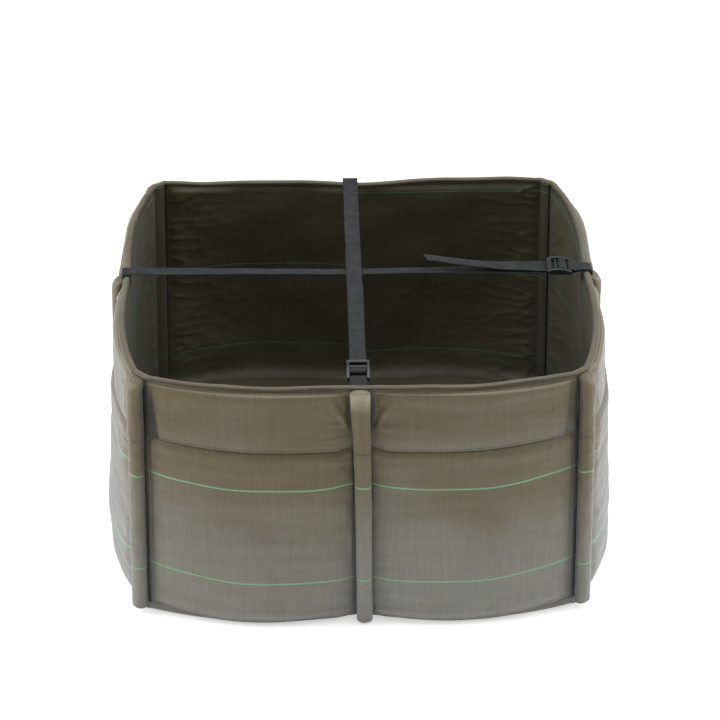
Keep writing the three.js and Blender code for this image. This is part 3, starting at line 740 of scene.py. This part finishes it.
def sleeve(side, place):
    """A round sleeve standing on the middle of a side, or on the cut-off corner at its left."""
    low, half_width, half_depth = SLEEVES[place]
    high = WALL_TOP + 0.0005
    angle = np.linspace(0, 2 * math.pi, 56, endpoint=False) + math.pi / 2
    a, z = np.meshgrid(angle, low + 0.004 + (high - low - 0.0045) * eased(190), indexing="ij")
    below = HEIGHT - z
    corner = place == "corner"
    wide = half_width + 0.0004 * ripples(0 * z, z, 1, 0.12) + 0.00025 * ripples(a, z, 2.0, 0.03)
    deep = half_depth + 0.0006 * ripples(0 * z, z, 1, 0.09) + 0.0003 * ripples(a, z, 2.0, 0.025)
    wrinkled = 0.25 + (0.9 if corner else 0.4) * bell(below - 0.135, 0.05)
    flare = 0.0 if corner else 0.0030 * np.exp(-below / 0.032) - 0.0010 * smooth(below, 0.05, 0.17)
    wide = wide + flare
    pinch = 0.0011 * creases(a * 0.02, z, 0.05, 0.013) * wrinkled
    pinch += 0.0009 * bell(below - CUFF - 0.004, 0.0010)
    shoulder = np.sqrt(1 - (0.955 * np.clip((z - high + SLEEVE_TOP) / SLEEVE_TOP, 0, 1)) ** 2.4)
    hug = 0.62 + 0.38 * shoulder
    along = (wide - pinch) * np.cos(a) * (0.93 + 0.07 * shoulder)
    out = (deep - pinch) * np.sin(a) * hug
    stand_off = 0.0098 * shoulder - 0.0030 * (1 - shoulder)
    if corner:
        stand = CHAMFER / 2 + (stand_off + 0.0008) * math.sqrt(0.5)
        c = s = math.sqrt(0.5)
        x, y = -corner_at(z) - stand + along * c - out * s, -corner_at(z) - stand - along * s - out * c
    else:
        x = along + SLEEVE_LEAN[side] * ((0.2 - z) / 0.2 - 1.4 * (1 - smooth(below, 0, 0.166)) + 1.0)
        y = -(wall_out(side, 0 * z, np.maximum(z, 0.0105)) + stand_off + out)
    points = turned(np.stack([x, y, z], -1), side)
    ring_u = np.append(angle, angle[0] + 2 * math.pi)
    drop = 0.0030 if corner else 0.0020
    uv = np.stack(np.meshgrid(ring_u * 0.013, (HEIGHT - z[0]) - drop, indexing="ij"), -1)
    rings, coords = end_caps(points, uv)
    behind = np.clip(-np.sin(a), 0, 1)
    # Painted shade on the back of the sleeve and its sides, in the crease at the cuff's hem, under the rim
    # and at its foot.
    painted_shade_and_tone = 0.45 * behind + 0.10 * (1 - np.sin(a)) + 0.55 * bell(below - CUFF - 0.004, 0.0016)
    painted_shade_and_tone += 0.45 * np.exp(-(high - z) / 0.0022) + 0.25 * np.exp(-(z - low) / 0.004)
    wear_and_highlight = WORN_TOPS.get((side, place), USUAL_WEAR) * (1 - smooth(below, 0.010, 0.042))
    marks = {"painted_shade_and_tone": painted_shade_and_tone, "wear_and_highlight": wear_and_highlight * np.clip(np.sin(a) + 0.4, 0, 1)}
    caps = ((0, 0), (len(CAP_RINGS), len(CAP_RINGS)))
    marks = {mark: np.pad(field, caps, mode="edge") for mark, field in marks.items()}
    node = f"{side}_middle" if place == "middle" else f"{side}_{SIDES[side]['next']}_corner"
    outward = out_of(points.mean(0))
    obj = surface(f"sleeve_cloth_{node}", rings, coords, CLOTH, outward, closed=True, marks=marks)
    close_ends(obj)
    settle(obj, "bag", f"sleeve_{node}")


RIM_DEPTH, RIM_WIDE, RIM_TALL = 0.0046, 0.0053, 0.0040  # its middle's depth in the wall, and half its size
USUAL_WAVE, RIM_WAVE = 0.0010, {"back": 0.0019}  # how far a rim waves up and down


def rim(side):
    """The rolled rim of a side, which also goes over the cut-off corner at its left."""
    z = HEIGHT - ROLL
    count = 360
    seam = corner_at(z) - MITRE * RIM_DEPTH
    along = np.linspace(seam + 0.0006, -seam, 60)
    wall = np.stack([along, -(wall_out(side, along, z * np.ones(60)) - RIM_DEPTH)], -1)
    far = -(corner_at(z) + CHAMFER - RIM_DEPTH)
    end = [[far - 0.0004, -seam + 0.0004]]
    path = smoothed(np.concatenate([wall, end]), count)
    path = np.concatenate([path, np.full((count, 1), z)], 1)
    length = along_path(path)
    ends = smooth(length, 0, 0.03) * smooth(length[-1] - length, 0, 0.03)
    path[:, 2] += RIM_WAVE.get(side, USUAL_WAVE) * ripples(length, 0 * length, 0.16, 1) * ends - 0.0004
    if side != "back":
        path[:, 2] -= 0.0016 * bell(path[:, 0], 0.015)
    sideways, up = tube_frames(path)
    angle = np.linspace(0, 2 * math.pi, 28, endpoint=False)
    l, a = np.meshgrid(length, angle, indexing="ij")
    wide = RIM_WIDE + 0.00020 * ripples(l, a, 0.03, 3)
    tall = RIM_TALL + 0.00022 * ripples(l, a, 0.05, 3)
    tuck = 0.72 + 0.28 * smooth(np.sin(a), -1.0, -0.1)
    squared = np.sign(np.cos(a)) * np.abs(np.cos(a)) ** 0.8
    rings = path[:, None] + sideways[:, None] * (wide * tuck * squared)[..., None]
    rings = rings + up[:, None] * (tall * np.sin(a))[..., None]
    rings = turned(rings.transpose(1, 0, 2), side)
    ring_v = np.append(angle, 2 * math.pi) * ROLL
    uv = np.stack(np.meshgrid(ring_v, length, indexing="ij"), -1)[..., ::-1].copy()
    uv[..., 1] = 0.004 + 0.4 * uv[..., 1]
    # Painted shade on the underside of the roll, over a slightly darker tone of its own that varies at
    # random.
    painted_shade_and_tone = (0.07 + 0.56 * smooth(-np.sin(a), -1.0, -0.40) + 0.05 * (1 + ripples(l, a, 0.04, 3))).T
    outward = out_of(turned(path, side))
    obj = surface(f"rim_roll_cloth_{side}", rings, uv, CLOTH, outward, closed=True, marks={"painted_shade_and_tone": painted_shade_and_tone})
    close_ends(obj)
    settle(obj, "bag", f"rim_roll_{side}")


for side in SIDES:
    for half, word in ((-1, "left"), (1, "right")):
        outer_cloth(side, half, word, "panel")
        outer_cloth(side, half, word, "cuff")
    lining_cloth(side)
    sleeve(side, "middle")
    sleeve(side, "corner")
    rim(side)


# ---------------------------------------------------------------- base


BASE_LIFT, BASE_FLAT = 0.008, 0.7  # the base's felt turns up this far, outside this share of its half width


def base(name, node, material, low, lift, curl, upward):
    """A layer of the base: a square of cells that follows the foot of the walls and is turned up at its edge.
    lift is how far at the sides and how much further at the corners, and curl is where the turn starts."""
    corner = corner_at(0.01)
    end = corner + CHAMFER
    stops = np.sin(np.linspace(-1, 1, 141) * math.pi / 2)
    p, q = np.meshgrid(stops, stops, indexing="ij")
    edge = np.maximum(np.abs(p), np.abs(q))
    along_edge = np.minimum(np.abs(p), np.abs(q)) * end
    height = lift[0] + lift[1] * foot_rise(along_edge)
    depth = 0.0105 if upward else 0.0067 - 0.0047 * foot_rise(along_edge)

    def reach(sign, across, positive, negative):
        along, z = np.minimum(np.abs(across) * (end - depth), corner), low + height
        return np.where(sign > 0, wall_out(positive, along, z), wall_out(negative, along, z)) - depth

    x = p * reach(p, q, "right", "left")
    y = q * reach(q, p, "back", "front")
    most = corner - MITRE * depth + end - depth
    over = np.maximum(0, np.abs(x) + np.abs(y) - most) / 2
    x, y = x - over * np.sign(x), y - over * np.sign(y)
    turn = np.clip((edge - curl) / (1 - curl), 0, 1)
    # The lining goes up with the felt under it, and turns up further at its own edge.
    power, own_lift, felt_lift = 3, height, 0 * edge
    if upward:
        power, own_lift = 2, height - BASE_LIFT
        felt_lift = BASE_LIFT * np.clip((edge - BASE_FLAT) / (1 - BASE_FLAT), 0, 1) ** 1.5
    z = low + felt_lift + own_lift * (1 - (1 - turn**power) ** (1 / power))
    if upward:
        z = z + 0.0012 * (1 + ripples(x, y, 0.16, 0.16)) * (1 - edge**4)
        z += 0.0010 * creases(x, y + 0.4 * x, 0.12, 0.05) * (1 - edge**4)
    points = np.stack([x, y, z], -1)
    uv = np.stack([x, y + 1.5], -1)
    # Painted shade along the edge, where the base turns up against the walls.
    painted_shade_and_tone = 0.25 * smooth(edge, 0.96, 1)
    facing = np.array([0, 0, 1.0 if upward else -1.0])
    obj = surface(name, points, uv, material, lambda p: facing, thickness=0.001, marks={"painted_shade_and_tone": painted_shade_and_tone})
    settle(obj, "bag", node)


base("base_cloth", "base_panel", CLOTH, 0.0, (0.0052, 0.0150), 0.962, False)
base("base_lining_cloth", "base_lining", LINING, 0.0078, (0.010, 0.003), 0.88, True)


# ---------------------------------------------------------------- webbing


def webbing(name, path, across, node, body="bag", slant=0.0):
    """A band of webbing: its middle line, and the direction across it at each point. slant cuts its far end
    at an angle. A band without a body is not attached to one."""
    path, across = np.array(path, float), np.broadcast_to(np.array(across, float), np.shape(path))
    tangent = unit(np.gradient(path, axis=0))
    across = unit(across - (across * tangent).sum(1)[:, None] * tangent)
    face = np.cross(across, tangent)
    half, thick = WEBBING / 2, WEB / 2
    flat = np.linspace(-1, 1, 9)
    round_end = np.linspace(math.pi / 2, -math.pi / 2, 6)[1:-1]
    edge_x, edge_y = (half - thick) + thick * np.cos(round_end), thick * np.sin(round_end)
    xs = np.concatenate([flat * (half - thick), edge_x, -flat * (half - thick), -edge_x[::-1]])
    ys = np.concatenate([thick + 0 * flat, edge_y, -thick + 0 * flat, -edge_y])
    length = along_path(path)
    wander = 0.00025 * ripples(length, 0 * length, 0.05, 1)
    wide = 1 + 0.010 * ripples(length, 0 * length, 0.03, 1)
    far = smooth(length, length[-1] - 3 * abs(slant) - 1e-6, length[-1]) if slant else 0 * length
    shift = slant * (xs / half)[:, None] * far[None]
    rings = path[None] + across[None] * (xs[:, None] * wide)[..., None]
    rings = rings + face[None] * (ys[:, None] + wander)[..., None] + tangent[None] * shift[..., None]
    around = np.append(xs, xs[0])
    uv = np.stack(np.meshgrid(around, length, indexing="ij"), -1)
    obj = surface(name, rings, uv, WEBBING_CLOTH, lambda p: face[0], closed=True)
    if obj.data.polygons[0].normal @ Vector(face[0]) < 0:
        obj.data.flip_normals()
    close_ends(obj)
    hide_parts(node)
    if body:
        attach(obj, body)
    return obj


def in_yz(points):
    """Points of the front buckle's strap, from their y and z."""
    return [(FRONT_BAR.x, y, z) for y, z in points]


def in_xz(points):
    """Points of the side buckle's strap, from their x and z."""
    return [(x, 0, z) for x, z in points]


def loop_round(a, z):
    """The half circle that webbing makes round an anchor bar, from under it to over it."""
    turns = [math.radians(d) for d in (-90, -60, -30, 0, 30, 60, 90)]
    return [(a + WEB_LOOP * math.cos(t), z + WEB_LOOP * math.sin(t)) for t in turns]


def over_rim(out, lift):
    """The way over a rim whose wall stands this far out, and down outside it."""
    top = HEIGHT + 0.0013 + lift
    return [
        (out - 0.010, top),
        (out - 0.0035, top - 0.0002),
        (out + 0.0009 + lift * 0.6, top - 0.0017),
        (out + 0.0022 + lift, top - 0.0046),
        (out + 0.0022 + lift, WALL_TOP + 0.0015),
    ]


def entry(drop):
    """Where a strap meets the front buckle, this far under its bar's line: y and z."""
    c, s = math.cos(FRONT_TILT), math.sin(FRONT_TILT)
    return FRONT_BAR.y + ENTRY * c + drop * s, FRONT_BAR.z + ENTRY * s - drop * c


def front_anchor():
    """Doubled round the buckle's bar, and sewn to the inside of the front wall."""
    low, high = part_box("front_anchor_strap")
    outer, inner, foot = low.y + WEB / 2, low.y + WEB / 2 + 0.002, low.z
    y, z = FRONT_BAR.y, FRONT_BAR.z
    path = [
        (outer, foot),
        (outer, z - 0.022),
        (outer, z - 0.010),
        (outer + 0.0035, z - 0.0044),
        (y - 0.010, z - 0.0034),
        *loop_round(y, z),
        (y - 0.010, z + 0.0006),
        (inner + 0.0045, z - 0.0022),
        (inner, z - 0.0106),
        (inner, z - 0.022),
        (inner, foot),
    ]
    webbing("front_anchor_webbing", smoothed(in_yz(path), 240), (1, 0, 0), "front_anchor_strap")
    face = inner + WEB / 2
    left, right, down, top = FRONT_BAR.x - 0.009, FRONT_BAR.x + 0.009, foot + 0.003, z - 0.014
    # A sewn box, crossed from corner to corner.
    box = [(left, down), (right, down), (right, top), (left, top), (left, down)]
    box += [(right, top), (left, top), (right, down)]
    for k, (a, b) in enumerate(zip(box, box[1:])):
        row = np.linspace(a, b, 12)
        path = np.stack([row[:, 0], np.full(12, face), row[:, 1]], -1)
        stitches(f"anchor_stitches_{k}", path, np.array([0, 1.0, 0]))


def roll_vectors(angles):
    """The way across the side strap where it is rolled this far."""
    return np.stack([0 * angles, np.cos(angles), np.sin(angles)], -1)


def side_anchor():
    """Doubled round the buckle's bar, and taken over the right rim."""
    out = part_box("side_anchor_strap")[1].x - 0.0043 - WEB / 2
    x, z = SIDE_BAR.x, SIDE_BAR.z
    path = [
        *over_rim(out, 0)[::-1],
        (out - 0.016, z - 0.0013),
        (x + 0.008, z - 0.0022),
        (x + 0.004, z - 0.0029),
        *[(2 * x - px, pz) for px, pz in loop_round(x, z)],
        (x + 0.004, z + 0.0029),
        (x + 0.008, z + 0.0022),
        (out - 0.016, z + 0.0011),
        *over_rim(out, 0.0021),
    ]
    line = smoothed(in_xz(path), 260)
    share = np.clip((out - 0.012 - line[:, 0]) / (out - 0.012 - x - 0.008), 0, 1)
    rolled(line, SIDE_ROLL * share)
    webbing("side_anchor_webbing", line, roll_vectors(SIDE_ROLL * share), "side_anchor_strap")


def rolled(line, angles):
    """Moves the points of a line along X as the roll about the side buckle's axis takes them."""
    lift = line[:, 2] - SIDE_BAR.z
    line[:, 1] -= lift * np.sin(angles)
    line[:, 2] = SIDE_BAR.z + lift * np.cos(angles)


def front_to_back():
    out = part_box("front_to_back_strap")[1].y - 0.0022 - WEB / 2
    path = [
        entry(ENTRY_DROP),
        (-0.300, CROSSING + 0.0030),
        (-0.150, CROSSING + 0.0024),
        (0.0, CROSSING + 0.0021),
        (0.150, CROSSING + 0.0022),
        *over_rim(out, 0),
    ]
    line = smoothed(in_yz(path), 420)
    hinge_front(webbing("front_to_back_webbing", line, (1, 0, 0), "front_to_back_strap", body=None))


def side_roll(x):
    """The side strap rolls towards the buckle at one end and away from it over the rest."""
    away = smooth(x, -0.34, -0.15) * (1 - smooth(x, 0.1, 0.3))
    return SIDE_ROLL * smooth(x, 0.10, 0.312) - math.radians(7) * away


def side_to_side():
    start = SIDE_BAR.x - ENTRY
    high = SIDE_BAR.z - ENTRY_DROP
    out = -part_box("side_to_side_strap")[0].x - 0.0022 - WEB / 2
    middles = [(start * s, CROSSING + (high - CROSSING) * s**2) for s in (0.75, 0.5, 0.25)]
    path = [
        (start, high),
        *middles,
        (0.0, CROSSING - 0.0014),
        (-0.1, CROSSING - 0.0004),
        (-0.200, CROSSING + 0.0010),
        *[(-x, z) for x, z in over_rim(out, 0)],
    ]
    line = smoothed(in_xz(path), 420)
    angles = side_roll(line[:, 0])
    line[:, 1] += 0.0010 * np.sin((line[:, 0] + 0.3) * 9)
    hinge_side(webbing("side_to_side_webbing", line, roll_vectors(angles), "side_to_side_strap", body=None))


def front_tail():
    y, z = entry(-ENTRY_DROP)
    stack = 2 * ENTRY_DROP + 0.0004
    path = [
        (y, z),
        (-0.299, CROSSING + 0.0030 + stack),
        (-0.150, CROSSING + 0.0024 + stack),
        (y + FRONT_TAIL, CROSSING + 0.0021 + stack),
    ]
    line = smoothed(in_yz(path), 220)
    line[:, 0] += 0.0012 * smooth(line[:, 1], -0.28, -0.06)
    across = (1, 0, 0)
    hinge_front(webbing("front_strap_tail_webbing", line, across, "front_strap_tail", body=None, slant=0.008))


def side_tail():
    start = SIDE_BAR.x - ENTRY
    rise = (0, 0.0012, 0.0024, 0.0060, 0.0120, 0.0180)
    path = [(start - SIDE_TAIL * i / 5, SIDE_BAR.z + ENTRY_DROP + up) for i, up in enumerate(rise)]
    line = smoothed(in_xz(path), 200)
    x = line[:, 0]
    across = roll_vectors(SIDE_ROLL * smooth(x, 0.20, 0.312) - math.radians(6) * (1 - smooth(x, 0.12, 0.25)))
    hinge_side(webbing("side_strap_tail_webbing", line, across, "side_strap_tail", body=None, slant=0.003))


def hinge_front(strap):
    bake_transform(strap)


def hinge_side(strap):
    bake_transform(strap)


# Where each buckle is: its own X runs from its anchor bar to its tab, and its Z up out of its face.
FRONT_TURN = Matrix.Rotation(math.pi / 2, 4, "Z") @ Matrix.Rotation(-FRONT_TILT, 4, "Y")
SIDE_TURN = Matrix.Rotation(SIDE_ROLL, 4, "X") @ Matrix.Rotation(math.pi, 4, "Z")
FRONT_MOUNT = Matrix.Translation(FRONT_BAR) @ FRONT_TURN
SIDE_MOUNT = Matrix.Translation(SIDE_BAR) @ SIDE_TURN


def buckle_webbing(which, mount):
    """The webbing inside a buckle: in under the tab, up behind the middle bar, over it, and out again."""
    path = [
        (ENTRY - 0.0006, -ENTRY_DROP),
        (0.0200, -ENTRY_DROP),
        (0.0110, -ENTRY_DROP),
        (0.0080, -0.0008),
        (0.0069, 0.0010),
        (0.0068, 0.0035),
        (0.0072, 0.0056),
        (0.0088, 0.0070),
        (0.0120, 0.0073),
        (0.0153, 0.0070),
        (0.0170, 0.0054),
        (0.0173, 0.0030),
        (0.0179, 0.0015),
        (0.0196, ENTRY_DROP),
        (ENTRY - 0.0006, ENTRY_DROP),
    ]
    line = smoothed([(x, 0, z) for x, z in path], 160)
    turn, shift = np.array(mount)[:3, :3], np.array(mount)[:3, 3]
    node, body = f"{which}_buckle_webbing", f"{which}_buckle_body"
    webbing(f"{which}_buckle_wrap", line @ turn.T + shift, turn @ np.array([0, 1.0, 0]), node, body=body)


VOXEL = 0.00036
GRIP_PITCH, GRIP_HEIGHT = 0.0018, 0.00035  # of the grip ribs across a buckle's tab


def moulded_buckle(which, mount):
    """The buckle as a moulding: its edges rounded, with three grip ribs across its tab."""
    obj = added(f"{which}_buckle_moulding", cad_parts[f"{which}_buckle"].data.copy())
    even = obj.modifiers.new("even", "REMESH")
    even.mode, even.voxel_size = "VOXEL", VOXEL
    soft = obj.modifiers.new("soft", "SMOOTH")
    soft.factor, soft.iterations = 0.5, 7
    done = bpy.data.meshes.new_from_object(obj.evaluated_get(bpy.context.evaluated_depsgraph_get()))
    obj.modifiers.clear()
    obj.data = done
    inverse = np.array(mount.inverted())
    co = np.array([v.co for v in done.vertices], float)
    local = co @ inverse[:3, :3].T + inverse[:3, 3]
    x, z = local[:, 0], local[:, 2]
    grip = smooth(x, 0.0292, 0.0300) * (1 - smooth(x, 0.0345, 0.0352)) * smooth(z, 0.0050, 0.0060)
    local[:, 2] += GRIP_HEIGHT * grip * np.cos(2 * math.pi * (x - 0.0322) / GRIP_PITCH)
    turn = np.array(mount)
    done.vertices.foreach_set("co", (local @ turn[:3, :3].T + turn[:3, 3]).astype(np.float32).ravel())
    done.polygons.foreach_set("use_smooth", np.ones(len(done.polygons), bool))
    done.materials.clear()
    done.materials.append(PLASTIC)
    settle(obj, f"{which}_buckle_body", f"{which}_buckle")


front_anchor()
side_anchor()
front_to_back()
side_to_side()
front_tail()
side_tail()
for which, mount in (("front", FRONT_MOUNT), ("side", SIDE_MOUNT)):
    buckle_webbing(which, mount)
    moulded_buckle(which, mount)

# The felt and the rods are hidden in the bag, and keep their CAD shape.
for node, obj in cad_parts.items():
    if "felt" in node or "rod" in node:
        obj.data.materials.clear()
        obj.data.materials.append(FELT if "felt" in node else ROD)


# ---------------------------------------------------------------- floor


def add_floor():
    s = Shader("floor", 0.9, specular=0.1)
    tone = s.noise(s.place(), 0.6, 1.0)
    material = s.finish(s.mix(tone, (0.70, 0.70, 0.70, 1), (0.74, 0.74, 0.74, 1)))
    s.shader.inputs["Emission Color"].default_value = (1, 1, 1, 1)
    s.shader.inputs["Emission Strength"].default_value = 0.50
    mesh = bpy.data.meshes.new("floor")
    size, low = 12, -0.0006
    square = [(-size, -size, low), (size, -size, low), (size, size, low), (-size, size, low)]
    mesh.from_pydata(square, [], [(0, 1, 2, 3)])
    mesh.materials.append(material)
    added("floor", mesh)


add_floor()
bpy.context.view_layer.update()
